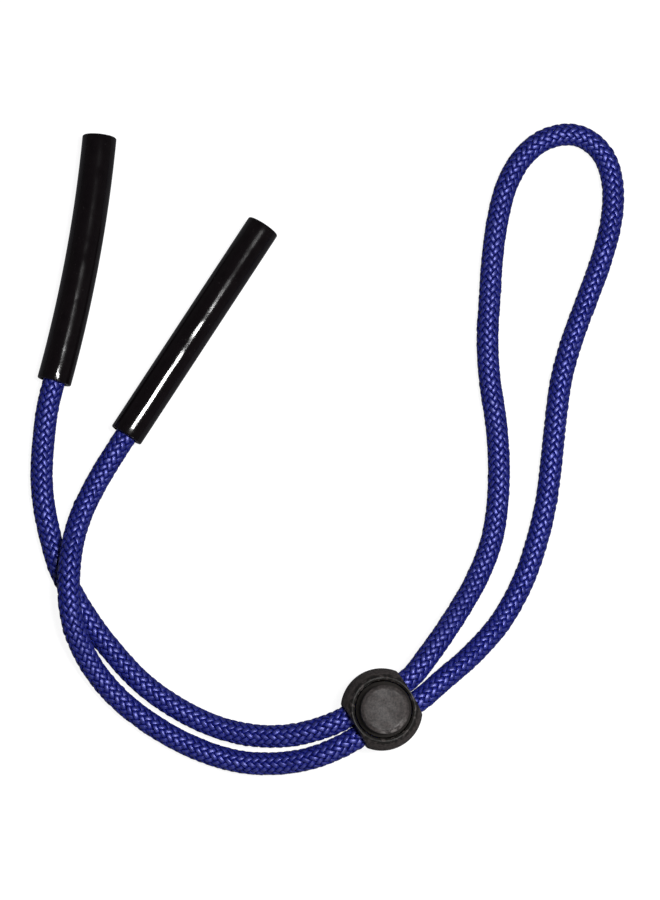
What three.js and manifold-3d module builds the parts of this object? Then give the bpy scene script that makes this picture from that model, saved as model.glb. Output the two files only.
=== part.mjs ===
// Sports eyewear retainer: a braided cord doubled through a ball-shaped spring cord lock, with a soft
// sleeve on each cord end that grips a spectacle temple. Millimetres, +Z up, lying on the plane z = 0.
// The origin is the centre of the toggle's flat base. The two strands pass the toggle along its own
// X axis, which is turned by TOGGLE_TURN from the row's X axis.

import * as THREE from 'three';
import * as BufferGeometryUtils from 'three/addons/utils/BufferGeometryUtils.js';
import Module from 'manifold-3d';

const wasm = await Module();
wasm.setup();

// ---- driving dimensions ---------------------------------------------------------------------------

const CORD_DIAMETER = 5.2;
const SHEATH_WALL = 0.8;
const SHEATH_TO_CORE_GAP = 0.2;
const STRAND_GAP = 0.2;               // between the two strands, side by side in the toggle
const CORD_SPLIT_GAP = 0.3;           // between the modelled stretches of the one cord
const CORD_SIDES = 10;
const CORD_STEP = 8.2;                // length of one straight facet of the cord

const SLEEVE_LENGTH = 60.5;
const SLEEVE_WALL = 1.1;
const SLEEVE_RIM_ROUND = 0.35;
const SLEEVE_SIDES = 28;
const CORD_INSERTION = 14;            // how deep a cord end sits in its sleeve
const BOND_THICKNESS = 0.22;
const BOND_GAP = 0.09;                // bond to cord, and bond to sleeve
const BOND_SETBACK = 1.2;             // bond's distance from the sleeve's mouth and from the cord's end
const TIP_LENGTH = 1.3;
const TIP_GAP = 0.3;

const TOGGLE_TURN = THREE.MathUtils.degToRad(30.8);
const BALL_RADIUS = 9.65;
const BASE_RADIUS = 3.94;             // flat that the toggle stands on
const FLAT_WALL = 0.7;                // thinnest wall, between a flat and the button's bore
const SLOT_CLEARANCE = 0.3;           // around the pair of strands
const STRAIGHT_RUN = 2;               // each strand runs on straight past the flat
const MOUTH_CHAMFER = 0.4;
const RING_WIDTH = 0.3;               // flat ring around the button's mouth

const WEB_THICKNESS = 0.9;            // the plunger's webs, beside the pair of strands
const ROOF_EDGE = 0.15;               // over the webs, where the shoulder starts to slope
const ROOF_THICKNESS = 1.3;           // over the webs, where the shoulder meets the head
const HEAD_INSET = 0.85;              // head's radius is this much under the plunger's
const BUTTON_EDGE_WIDTH = 0.85;
const BUTTON_EDGE_DROP = 0.5;
const BUTTON_STANDS_PROUD = 3.6;
const BUTTON_CLEARANCE = 0.3;
const BUTTON_TRAVEL = 2.4;
const FOOT_THICKNESS = 1.7;
const POCKET_DEPTH = 0.8;

const LUG_WIDTH = 1.8;
const LUG_HEIGHT = 1.6;
const LUG_PROUD = 0.5;
const LUG_CLEARANCE = 0.3;

const WIRE_DIAMETER = 0.55;
const SPRING_DIAMETER = 6.6;          // outside
const SPRING_TURNS = 3.5;
const SPRING_SPARE = 0.125;           // what the spring could still give with the button fully in
const SPRING_CLEARANCE = 0.3;         // to the well's wall
const SPRING_END_GAP = 0.15;
const WELL_WALL = 1.4;                // under the spring

// ---- sizes that follow ----------------------------------------------------------------------------

const cordRadius = CORD_DIAMETER / 2;
const coreRadius = cordRadius - SHEATH_WALL - SHEATH_TO_CORE_GAP;
const strandOffset = (CORD_DIAMETER + STRAND_GAP) / 2;

const sleeveBoreRadius = cordRadius + 2 * BOND_GAP + BOND_THICKNESS;
const sleeveRadius = sleeveBoreRadius + SLEEVE_WALL;

const slotHalfWidth = strandOffset + cordRadius + SLOT_CLEARANCE;
const slotHalfHeight = cordRadius + SLOT_CLEARANCE;

const springLength = (SPRING_TURNS + 1) * WIRE_DIAMETER + BUTTON_TRAVEL + SPRING_SPARE;
const wellRadius = SPRING_DIAMETER / 2 + SPRING_CLEARANCE;
const springBottom = WELL_WALL + SPRING_END_GAP;
const springTop = springBottom + springLength;
const footBottom = springTop + SPRING_END_GAP - POCKET_DEPTH;
const boreFloor = footBottom - BUTTON_TRAVEL - BUTTON_CLEARANCE;
const slotFloor = footBottom + FOOT_THICKNESS;
const slotHeight = slotFloor + slotHalfHeight;

const buttonRadius = slotHalfWidth + WEB_THICKNESS;
const boreRadius = buttonRadius + BUTTON_CLEARANCE;
const flatOffset = boreRadius + FLAT_WALL;
const mouthRadius = boreRadius + MOUTH_CHAMFER;
const ringRadius = mouthRadius + RING_WIDTH;
const ringHeight = slotHeight + Math.sqrt(BALL_RADIUS ** 2 - ringRadius ** 2);
const bellyDepth = slotHeight / Math.sqrt(1 - (BASE_RADIUS / BALL_RADIUS) ** 2);
const strandStraight = flatOffset + STRAIGHT_RUN;

// ---- lie of the cord and sleeves ------------------------------------------------------------------

// Each sleeve starts at its cord end: where its centreline is in plan, which way it points there, and
// how far it bends to the left over its length.
const LEFT_SLEEVE = { mouth: [-77.6, 77.6], heading: 75.3, bend: 9.8 };
const RIGHT_SLEEVE = { mouth: [-60.4, 64.9], heading: 57.4, bend: 0 };

// Points along the cord: x, y, and how far it is lifted above lying on the table.
const LEFT_TAIL = [
  [-79.0, 72.0, 1.1],
  [-79.9, 64.5, 0.3],
  [-80.4, 56.0, 0],
  [-79.8, 48.5, 0],
  [-78.2, 41.0, 0],
  [-76.0, 33.5, 0],
  [-72.6, 27.0, 0],
  [-68.2, 20.0, 0],
  [-62.8, 13.2, 0],
  [-56.6, 6.6, 0],
  [-49.5, 1.3, 0],
  [-41.6, -2.9, 0.4],
  [-35.0, -5.2, 1.6],
  [-28.0, -6.3, 3.5],
  [-21.0, -6.1, 5.7],
  [-14.5, -4.5, 7.5],
];

// The right tail passes over the left one in a long low hump.
const RIGHT_TAIL = [
  [-63.4, 60.2, 1.2],
  [-67.3, 53.6, 0.7],
  [-70.8, 46.1, 1.7],
  [-72.5, 40.2, 3.5],
  [-73.3, 34.5, 5.3],
  [-73.5, 28.6, 5.9],
  [-73.1, 23.0, 5.4],
  [-71.8, 17.8, 4.0],
  [-69.4, 12.4, 2.0],
  [-66.0, 7.3, 0.5],
  [-61.0, 1.9, 0],
  [-54.6, -3.0, 0],
  [-47.0, -7.5, 0],
  [-39.0, -10.8, 0.3],
  [-31.8, -12.5, 1.4],
  [-24.7, -12.7, 3.4],
  [-17.9, -11.8, 5.8],
  [-12.2, -9.9, 7.4],
];

// The loop, from the toggle up its left side and back down its right side.
const LOOP = [
  [10.3, 11.6, 7.4],
  [14.0, 16.4, 6.0],
  [17.4, 21.2, 4.1],
  [20.6, 26.0, 2.2],
  [23.5, 30.9, 0.8],
  [27.4, 40.5, 0],
  [28.9, 50.2, 0],
  [29.2, 59.8, 0],
  [28.5, 69.5, 0],
  [27.1, 79.2, 0],
  [26.6, 89.0, 0],
  [27.2, 98.8, 0],
  [27.9, 108.6, 0],
  [29.1, 117.5, 0],
  [31.5, 127.0, 0],
  [35.8, 134.5, 0],
  [41.8, 139.0, 0],
  [49.1, 139.9, 0],
  [55.1, 135.7, 0],
  [57.6, 128.6, 0],
  [57.4, 119.5, 0],
  [54.7, 109.0, 0],
  [51.0, 99.1, 0],
  [47.3, 89.2, 0],
  [44.5, 79.4, 0],
  [43.1, 69.6, 0],
  [42.0, 59.9, 0],
  [40.7, 50.2, 0],
  [38.4, 40.6, 0],
  [35.0, 30.9, 0],
  [29.6, 21.3, 0.8],
  [25.3, 16.3, 2.6],
  [20.5, 11.7, 4.9],
  [14.6, 7.0, 7.0],
];

// ---- helpers --------------------------------------------------------------------------------------

// A closed, welded mesh without flat triangles, its faces pointing out.
function welded(geometry) {
  const bare = geometry.clone();
  bare.deleteAttribute('normal');
  bare.deleteAttribute('uv');
  const merged = BufferGeometryUtils.mergeVertices(bare, 1e-4);
  const place = merged.getAttribute('position');
  const corners = merged.index.array;
  const kept = [];
  let volume = 0;
  const a = new THREE.Vector3();
  const b = new THREE.Vector3();
  const c = new THREE.Vector3();
  for (let i = 0; i < corners.length; i += 3) {
    const [p, q, r] = [corners[i], corners[i + 1], corners[i + 2]];
    if (p === q || q === r || r === p) continue;
    kept.push(p, q, r);
    a.fromBufferAttribute(place, p);
    b.fromBufferAttribute(place, q);
    c.fromBufferAttribute(place, r);
    volume += a.dot(b.cross(c));
  }
  if (volume < 0) kept.reverse();
  merged.setIndex(kept);
  return merged;
}

function solid(geometry) {
  const mesh = welded(geometry);
  const vertProperties = new Float32Array(mesh.getAttribute('position').array);
  const triVerts = new Uint32Array(mesh.index.array);
  return new wasm.Manifold(new wasm.Mesh({ numProp: 3, vertProperties, triVerts }));
}

function geometryOf(body) {
  const mesh = body.getMesh();
  const geometry = new THREE.BufferGeometry();
  geometry.setAttribute('position', new THREE.BufferAttribute(mesh.vertProperties, 3));
  geometry.setIndex(new THREE.BufferAttribute(mesh.triVerts, 1));
  return geometry;
}

// A profile of [radius, height] points turned about the vertical axis.
function turned(profile, sides) {
  const points = profile.map(([radius, height]) => new THREE.Vector2(radius, height));
  const geometry = new THREE.LatheGeometry(points, sides);
  geometry.rotateX(Math.PI / 2);
  return geometry;
}

function block(x, y, z, centreX, centreY, centreZ) {
  return new THREE.BoxGeometry(x, y, z).translate(centreX, centreY, centreZ);
}

// Points on an ellipse's quarter from one angle to another, about [0, height], ends included.
function arc(radius, depth, height, from, to, steps) {
  const points = [];
  for (let i = 0; i <= steps; i += 1) {
    const angle = from + (to - from) * i / steps;
    points.push([radius * Math.cos(angle), height + depth * Math.sin(angle)]);
  }
  return points;
}

// A passage along X with half-round sides, from floor to ceiling.
function passage(length, halfWidth, floor, ceiling, round) {
  const shape = new THREE.Shape();
  shape.moveTo(-halfWidth, floor + round);
  shape.absarc(-halfWidth + round, floor + round, round, Math.PI, 1.5 * Math.PI);
  shape.absarc(halfWidth - round, floor + round, round, 1.5 * Math.PI, 2 * Math.PI);
  shape.absarc(halfWidth - round, ceiling - round, round, 0, 0.5 * Math.PI);
  shape.absarc(-halfWidth + round, ceiling - round, round, 0.5 * Math.PI, Math.PI);
  const settings = { depth: length, bevelEnabled: false, curveSegments: 8 };
  const geometry = new THREE.ExtrudeGeometry(shape, settings);
  geometry.translate(0, 0, -length / 2);
  geometry.rotateX(Math.PI / 2);
  geometry.rotateZ(Math.PI / 2);
  return geometry;
}

// The centreline of a sleeve lying on the table: an arc, or a straight line where the bend is 0.
class SleeveLine extends THREE.Curve {
  constructor({ mouth, heading, bend }) {
    super();
    this.mouth = mouth;
    this.heading = THREE.MathUtils.degToRad(heading);
    this.bend = THREE.MathUtils.degToRad(bend);
  }

  getPoint(share, target = new THREE.Vector3()) {
    const turn = this.bend * share / 2;
    const chord = SLEEVE_LENGTH * share * (turn === 0 ? 1 : Math.sin(turn) / turn);
    const x = this.mouth[0] + chord * Math.cos(this.heading + turn);
    const y = this.mouth[1] + chord * Math.sin(this.heading + turn);
    return target.set(x, y, sleeveRadius);
  }

  at(distance) {
    return this.getPoint(distance / SLEEVE_LENGTH);
  }

  // Bends a solid that stands on its end, from height 0 up, so that it lies along this line.
  lay(geometry) {
    const place = geometry.getAttribute('position');
    for (let i = 0; i < place.count; i += 1) {
      const share = place.getZ(i) / SLEEVE_LENGTH;
      const angle = this.heading + this.bend * share;
      const centre = this.getPoint(share);
      const side = place.getX(i);
      const up = place.getY(i);
      place.setXYZ(i, centre.x - side * Math.sin(angle), centre.y + side * Math.cos(angle), centre.z + up);
    }
    return geometry;
  }
}

// A ring along a stretch of a sleeve's line, in short steps so that it bends with it.
function ringAlong(line, inner, outer, start, end, round, sides) {
  const profile = [
    [inner, start + round],
    [inner + round, start],
    [outer - round, start],
    [outer, start + round],
  ];
  const steps = Math.max(1, Math.round((end - start) / 10));
  for (let i = 1; i < steps; i += 1) {
    profile.push([outer, start + (end - start) * i / steps]);
  }
  profile.push([outer, end - round], [outer - round, end], [inner + round, end], [inner, end - round]);
  for (let i = steps - 1; i > 0; i -= 1) {
    profile.push([inner, start + (end - start) * i / steps]);
  }
  profile.push(profile[0]);
  return welded(line.lay(turned(profile, sides)));
}

// A point on one of the two strands inside the toggle: side +1 or -1, at a distance along its X axis.
function strand(side, distance) {
  const point = new THREE.Vector3(distance, side * strandOffset, slotHeight);
  return point.applyAxisAngle(new THREE.Vector3(0, 0, 1), TOGGLE_TURN);
}

function lifted(points) {
  return points.map(([x, y, lift]) => new THREE.Vector3(x, y, cordRadius + lift));
}

function tail(line, points, side) {
  const inside = [line.at(CORD_INSERTION), line.at(CORD_INSERTION / 2), line.at(0)];
  const straight = [-strandStraight, -strandStraight / 2, -CORD_SPLIT_GAP / 2];
  const through = straight.map((distance) => strand(side, distance));
  return new THREE.CatmullRomCurve3([...inside, ...lifted(points), ...through]);
}

function loop(points) {
  const straight = [CORD_SPLIT_GAP / 2, strandStraight / 2, strandStraight];
  const out = straight.map((distance) => strand(1, distance));
  const back = straight.map((distance) => strand(-1, distance)).reverse();
  return new THREE.CatmullRomCurve3([...out, ...lifted(points), ...back]);
}

function polygon(radius, sides) {
  const points = [];
  for (let i = 0; i < sides; i += 1) {
    const angle = 2 * Math.PI * i / sides;
    points.push(new THREE.Vector2(radius * Math.cos(angle), radius * Math.sin(angle)));
  }
  return points;
}

// A tube or rod along a curve.
function swept(curve, steps, sides, radius, holeRadius = 0) {
  const shape = new THREE.Shape(polygon(radius, sides));
  if (holeRadius > 0) shape.holes.push(new THREE.Path(polygon(holeRadius, sides)));
  return welded(new THREE.ExtrudeGeometry(shape, { steps, bevelEnabled: false, extrudePath: curve }));
}

// ---- sub-parts ------------------------------------------------------------------------------------

const finishes = {
  braid: new THREE.MeshStandardMaterial({ color: 0x1e1e9e, roughness: 0.6, metalness: 0 }),
  core: new THREE.MeshStandardMaterial({ color: 0xcfcfc8, roughness: 0.9, metalness: 0 }),
  fused: new THREE.MeshStandardMaterial({ color: 0x0c0c46, roughness: 0.35, metalness: 0 }),
  sleeve: new THREE.MeshStandardMaterial({ color: 0x1c1418, roughness: 0.25, metalness: 0 }),
  bond: new THREE.MeshStandardMaterial({ color: 0x141214, roughness: 0.4, metalness: 0 }),
  body: new THREE.MeshStandardMaterial({ color: 0x32302d, roughness: 0.7, metalness: 0 }),
  button: new THREE.MeshStandardMaterial({ color: 0x55524f, roughness: 0.55, metalness: 0 }),
  spring: new THREE.MeshStandardMaterial({ color: 0xb4b4b8, roughness: 0.3, metalness: 1 }),
};

function part(name, geometry, finish) {
  const mesh = new THREE.Mesh(geometry, finishes[finish]);
  mesh.name = name;
  return mesh;
}

// One stretch of the cord: the braided sheath and the core inside it.
function cordStretch(name, curve) {
  const steps = Math.round(curve.getLength() / CORD_STEP);
  const sheath = swept(curve, steps, CORD_SIDES, cordRadius, cordRadius - SHEATH_WALL);
  const core = swept(curve, steps, CORD_SIDES, coreRadius);
  return [part(`${name}_sheath`, sheath, 'braid'), part(`${name}_core`, core, 'core')];
}

// A sleeve with the bond and the fused cord tip inside it.
function sleeveParts(side, line) {
  const sleeve = ringAlong(
    line, sleeveBoreRadius, sleeveRadius, 0, SLEEVE_LENGTH, SLEEVE_RIM_ROUND, SLEEVE_SIDES);
  const bondRadius = cordRadius + BOND_GAP;
  const bondEnd = CORD_INSERTION - BOND_SETBACK;
  const bond = ringAlong(
    line, bondRadius, bondRadius + BOND_THICKNESS, BOND_SETBACK, bondEnd, 0, SLEEVE_SIDES);
  const tipStart = CORD_INSERTION + TIP_GAP;
  const tipRadius = cordRadius - TIP_GAP;
  const tipProfile = [
    [0, tipStart],
    [tipRadius, tipStart],
    [tipRadius, tipStart + TIP_LENGTH / 2],
    [tipRadius * 0.8, tipStart + TIP_LENGTH],
    [0, tipStart + TIP_LENGTH],
  ];
  const tip = welded(line.lay(turned(tipProfile, SLEEVE_SIDES)));
  return [
    part(`${side}_sleeve`, sleeve, 'sleeve'),
    part(`${side}_bond`, bond, 'bond'),
    part(`${side}_fused_tip`, tip, 'fused'),
  ];
}

// The ball: bored from the top for the button, with the spring's well below and the cord slot across.
function toggleBody() {
  const baseAngle = -Math.acos(BASE_RADIUS / BALL_RADIUS);
  const ringAngle = Math.acos(ringRadius / BALL_RADIUS);
  const profile = [
    [0, 0],
    ...arc(BALL_RADIUS, bellyDepth, slotHeight, baseAngle, 0, 9),
    ...arc(BALL_RADIUS, BALL_RADIUS, slotHeight, 0, ringAngle, 6).slice(1),
    [mouthRadius, ringHeight],
    [boreRadius, ringHeight - MOUTH_CHAMFER],
    [boreRadius, boreFloor],
    [wellRadius, boreFloor],
    [wellRadius, WELL_WALL],
    [0, WELL_WALL],
  ];
  let ball = solid(turned(profile, 48));
  const side = 2 * BALL_RADIUS;
  const slice = 2 * (BALL_RADIUS - flatOffset);
  const tall = 4 * BALL_RADIUS;
  for (const way of [-1, 1]) {
    ball = ball.subtract(solid(block(slice, side, tall, way * (flatOffset + slice / 2), 0, 0)));
    ball = ball.subtract(solid(lugGroove(way)));
  }
  const ceiling = slotHeight + slotHalfHeight;
  return ball.subtract(solid(passage(side, slotHalfWidth, slotFloor, ceiling, slotHalfHeight)));
}

function lugGroove(way) {
  const width = LUG_WIDTH + 2 * LUG_CLEARANCE;
  const height = LUG_HEIGHT + BUTTON_TRAVEL + 2 * LUG_CLEARANCE;
  const reach = buttonRadius + LUG_PROUD + LUG_CLEARANCE;
  const centre = slotHeight - BUTTON_TRAVEL / 2;
  return block(width, 2, height, 0, way * (reach - 1), centre);
}

// The plunger: round head on a sloping shoulder, two webs beside the strands, foot with the spring's
// pocket, and a lug on each web that stops it from leaving the ball.
function toggleButton() {
  const top = ringHeight + BUTTON_STANDS_PROUD;
  const ceiling = slotHeight + slotHalfHeight + BUTTON_TRAVEL;
  const headRadius = buttonRadius - HEAD_INSET;
  const profile = [
    [0, footBottom],
    [buttonRadius, footBottom],
    [buttonRadius, ceiling + ROOF_EDGE],
    [headRadius, ceiling + ROOF_THICKNESS],
    [headRadius, top - BUTTON_EDGE_DROP],
    [headRadius - BUTTON_EDGE_WIDTH, top],
    [0, top],
  ];
  const pocketProfile = [
    [0, footBottom - 1],
    [wellRadius, footBottom - 1],
    [wellRadius, footBottom + POCKET_DEPTH],
    [0, footBottom + POCKET_DEPTH],
  ];
  let plunger = solid(turned(profile, 48));
  plunger = plunger.subtract(solid(turned(pocketProfile, 36)));
  for (const way of [-1, 1]) {
    const reach = buttonRadius + LUG_PROUD;
    plunger = plunger.add(solid(block(LUG_WIDTH, 1, LUG_HEIGHT, 0, way * (reach - 0.5), slotHeight)));
  }
  const length = 4 * buttonRadius;
  return plunger.subtract(solid(passage(length, slotHalfWidth, slotFloor, ceiling, slotHalfHeight)));
}

class SpringLine extends THREE.Curve {
  getPoint(share, target = new THREE.Vector3()) {
    const angle = 2 * Math.PI * SPRING_TURNS * share;
    const radius = (SPRING_DIAMETER - WIRE_DIAMETER) / 2;
    const low = springBottom + WIRE_DIAMETER / 2;
    const high = springTop - WIRE_DIAMETER / 2;
    return target.set(radius * Math.cos(angle), radius * Math.sin(angle), low + (high - low) * share);
  }
}

// ---- assembly -------------------------------------------------------------------------------------

const leftLine = new SleeveLine(LEFT_SLEEVE);
const rightLine = new SleeveLine(RIGHT_SLEEVE);

const strap = new THREE.Group();
strap.add(
  ...cordStretch('left_tail', tail(leftLine, LEFT_TAIL, 1)),
  ...cordStretch('loop', loop(LOOP)),
  ...cordStretch('right_tail', tail(rightLine, RIGHT_TAIL, -1)),
  ...sleeveParts('left', leftLine),
  ...sleeveParts('right', rightLine),
);

const toggle = new THREE.Group();
toggle.rotation.z = TOGGLE_TURN;
toggle.add(
  part('toggle_body', geometryOf(toggleBody()), 'body'),
  part('toggle_button', geometryOf(toggleButton()), 'button'),
  part('toggle_spring', swept(new SpringLine(), 14 * SPRING_TURNS, 6, WIRE_DIAMETER / 2), 'spring'),
);

const retainer = new THREE.Group();
retainer.add(strap, toggle);

export default retainer;
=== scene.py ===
"""Sports eyewear retainer: a braided cord doubled through a ball-shaped spring cord lock, with a soft
sleeve on each cord end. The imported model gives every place; this file makes the visible pieces."""

import math

import bmesh
import bpy
import numpy as np
from mathutils import Matrix, Vector


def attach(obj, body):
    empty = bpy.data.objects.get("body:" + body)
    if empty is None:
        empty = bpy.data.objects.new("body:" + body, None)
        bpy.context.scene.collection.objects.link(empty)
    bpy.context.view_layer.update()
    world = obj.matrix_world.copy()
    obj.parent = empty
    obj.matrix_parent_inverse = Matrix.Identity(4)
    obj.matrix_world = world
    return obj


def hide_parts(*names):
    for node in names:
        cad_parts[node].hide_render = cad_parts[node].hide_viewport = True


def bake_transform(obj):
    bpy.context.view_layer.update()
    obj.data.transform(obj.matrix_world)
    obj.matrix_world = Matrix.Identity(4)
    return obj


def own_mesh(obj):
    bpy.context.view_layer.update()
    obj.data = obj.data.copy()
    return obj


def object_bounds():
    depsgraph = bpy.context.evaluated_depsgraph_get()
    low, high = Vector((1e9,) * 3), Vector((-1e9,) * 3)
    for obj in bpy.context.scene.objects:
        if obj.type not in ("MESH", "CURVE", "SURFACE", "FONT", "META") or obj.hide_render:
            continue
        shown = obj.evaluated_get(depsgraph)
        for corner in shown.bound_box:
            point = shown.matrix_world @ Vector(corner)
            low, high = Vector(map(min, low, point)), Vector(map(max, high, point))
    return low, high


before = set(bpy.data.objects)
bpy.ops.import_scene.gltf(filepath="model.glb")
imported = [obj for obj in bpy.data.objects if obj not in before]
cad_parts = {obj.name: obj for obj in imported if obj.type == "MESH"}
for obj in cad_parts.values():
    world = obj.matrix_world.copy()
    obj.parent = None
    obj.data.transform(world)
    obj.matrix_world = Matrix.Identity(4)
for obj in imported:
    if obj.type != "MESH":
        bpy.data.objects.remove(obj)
CAD_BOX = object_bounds()

bl_info = {
    "name": "Eyewear Retainer",
    "version": (1, 0, 0),
    "blender": (4, 5, 0),
    "location": "3D View > Sidebar > Retainer",
    "description": "Makes a braided eyewear retainer with temple sleeves and a spring cord lock",
    "category": "Add Mesh",
}

MM = 0.001
UP = Vector((0, 0, 1))
TINY = 1e-6  # in metres: closer than this is the same place
DOUBLES = 6e-6  # corners closer than this are merged at the end
FLAT_SLACK = 1e-5  # corners this near a plane lie in it
CUT_SLACK = 1e-7  # corners this near a cut are on it

# ---- how the cord and the sleeves lie, in millimetres ----

CORD_RADIUS = 2.6
TOGGLE_TURN = math.radians(30.8)
STRAND_HEIGHT = 10.5  # the strands inside the toggle, above the floor
STRAND_OFFSET = 2.7  # each strand's distance from the toggle's own axis
STRAND_STRAIGHT = 9.5  # how far each strand stays straight from the toggle's middle
STRAND_LEAVES = 7.5  # where a strand comes out of the toggle's flat
CORD_SPLIT_GAP = 0.3  # between the stretches of the one cord, inside the toggle
CORD_INSERTION = 14.0  # how deep a cord end sits in its sleeve
TAIL_BLEND = (-45, -10)  # the tails follow the strap before the first x, the toggle after the second
LOOP_BLEND = (50, 10)  # the same for the loop, along the toggle's axis
LINE_STEP = 0.475  # between two points of a yarn
LINE_EASE = 2.0  # over which the cord's line is rounded
CORE_STEP, PATH_STEP = 1.5, 1.0
KNOT_SPACING = 5  # between the changes in a yarn's wander
YARN_DRIFT = 0.022  # how far a yarn wanders round the cord, in radians
YARN_LIFT = 0.02  # how far it wanders out of the braid

LEFT_SLEEVE = {"mouth": (-77.6, 77.6), "heading": 75.3, "bend": 9.8}
RIGHT_SLEEVE = {"mouth": (-60.4, 64.9), "heading": 57.4, "bend": 0.0}

# The routes: x, y, and how far the cord is lifted off the floor.
LEFT_TAIL = (
    (-79.0, 72.0, 1.1), (-79.9, 64.5, 0.3), (-80.4, 56.0, 0), (-79.8, 48.5, 0), (-78.2, 41.0, 0),
    (-76.0, 33.5, 0), (-72.6, 27.0, 0), (-68.2, 20.0, 0), (-62.8, 13.2, 0), (-56.6, 6.6, 0),
    (-49.5, 1.3, 0), (-41.6, -2.9, 0.4), (-35.0, -5.2, 1.6), (-28.0, -6.3, 3.5), (-21.0, -6.1, 5.7),
    (-14.5, -4.5, 7.5),
)
RIGHT_TAIL = (
    (-63.4, 60.2, 1.2), (-67.3, 53.6, 0.7), (-70.8, 46.1, 1.7), (-72.5, 40.2, 3.5), (-73.3, 34.5, 5.3),
    (-73.5, 28.6, 5.9), (-73.1, 23.0, 5.4), (-71.8, 17.8, 4.0), (-69.4, 12.4, 2.0), (-66.0, 7.3, 0.5),
    (-61.0, 1.9, 0), (-54.6, -3.0, 0), (-47.0, -7.5, 0), (-39.0, -10.8, 0.3), (-31.8, -12.5, 1.4),
    (-24.7, -12.7, 3.4), (-17.9, -11.8, 5.8), (-12.2, -9.9, 7.4),
)
LOOP = (
    (10.3, 11.6, 7.4), (14.0, 16.4, 6.0), (17.4, 21.2, 4.1), (20.6, 26.0, 2.2), (23.5, 30.9, 0.8),
    (27.4, 40.5, 0), (28.9, 50.2, 0), (29.2, 59.8, 0), (28.5, 69.5, 0), (27.1, 79.2, 0), (26.6, 89.0, 0),
    (27.2, 98.8, 0), (27.9, 108.6, 0), (29.1, 117.5, 0), (31.5, 127.0, 0), (35.8, 134.5, 0),
    (41.8, 139.0, 0), (49.1, 139.9, 0), (55.1, 135.7, 0), (57.6, 128.6, 0), (57.4, 119.5, 0),
    (54.7, 109.0, 0), (51.0, 99.1, 0), (47.3, 89.2, 0), (44.5, 79.4, 0), (43.1, 69.6, 0), (42.0, 59.9, 0),
    (40.7, 50.2, 0), (38.4, 40.6, 0), (35.0, 30.9, 0), (29.6, 21.3, 0.8), (25.3, 16.3, 2.6),
    (20.5, 11.7, 4.9), (14.6, 7.0, 7.0),
)


# ---- sizes and colours that a user would change ----

def size(name, description, millimetres):
    return bpy.props.FloatProperty(
        name=name, description=description, default=millimetres * MM, min=0, unit="LENGTH",
        subtype="DISTANCE")


def tint(name, description, colour):
    return bpy.props.FloatVectorProperty(
        name=name, description=description, default=colour, size=3, min=0, max=1, subtype="COLOR")


class BraidSettings(bpy.types.PropertyGroup):
    cord_diameter: size("Cord diameter", "Across the finished braid", 5.2)
    fullness: size("Fullness", "How far the yarns' crowns stand proud of the diameter", 0.2)
    braid_lead: size("Braid lead", "Length in which a yarn goes once round the cord", 22.8)
    yarn_width: size("Yarn width", "Across one flattened yarn", 1.18)
    yarn_thickness: size("Yarn thickness", "Through one flattened yarn", 0.43)
    yarn_wave: size("Yarn wave", "How far a yarn rises and dives from its middle", 0.29)
    core_diameter: size("Core diameter", "Across the core yarns inside the braid", 3.3)
    float_flatness: bpy.props.FloatProperty(
        name="Float flatness", description="How level a yarn runs on top", default=1.5, min=0.1)
    yarn_tilt: bpy.props.FloatProperty(
        name="Yarn tilt", description="How much a yarn rolls from side to side", default=math.radians(7),
        min=0, subtype="ANGLE")
    carriers: bpy.props.IntProperty(
        name="Carriers each way", description="Yarns that wind one way round the cord", default=12,
        min=4, max=32)
    blue: tint("Yarn blue", "Side of a yarn that lies on top", (0.006, 0.011, 0.22))
    # painted highlight: a brighter blue along the very top of each float
    painted_sheen: tint("Yarn lustre", "Along the very top of a yarn", (0.032, 0.042, 0.33))
    # painted shade: near black navy where a yarn dives under its neighbours
    painted_dive_shade: tint("Yarn navy", "Where a yarn dives under its neighbours", (0.0005, 0.0018, 0.065))
    # painted shade: the core yarns are dark navy so that the gaps between the yarns look shaded
    core: tint("Core", "Core yarns", (0.02, 0.02, 0.10))
    fused: tint("Fused tip", "Hot-cut end of the cord", (0.006, 0.006, 0.05))


class SleeveSettings(bpy.types.PropertyGroup):
    length: size("Length", "Along one temple sleeve", 60.5)
    diameter: size("Diameter", "Outside of a sleeve", 8.2)
    bore: size("Bore", "Inside of a sleeve", 6.0)
    rim: size("Rim rounding", "Radius of the sleeve's end edges", 0.35)
    rubber: tint("Rubber", "Sleeve rubber", (0.0040, 0.0029, 0.0036))
    bond: tint("Bond", "Adhesive between sleeve and cord", (0.008, 0.007, 0.008))


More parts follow.
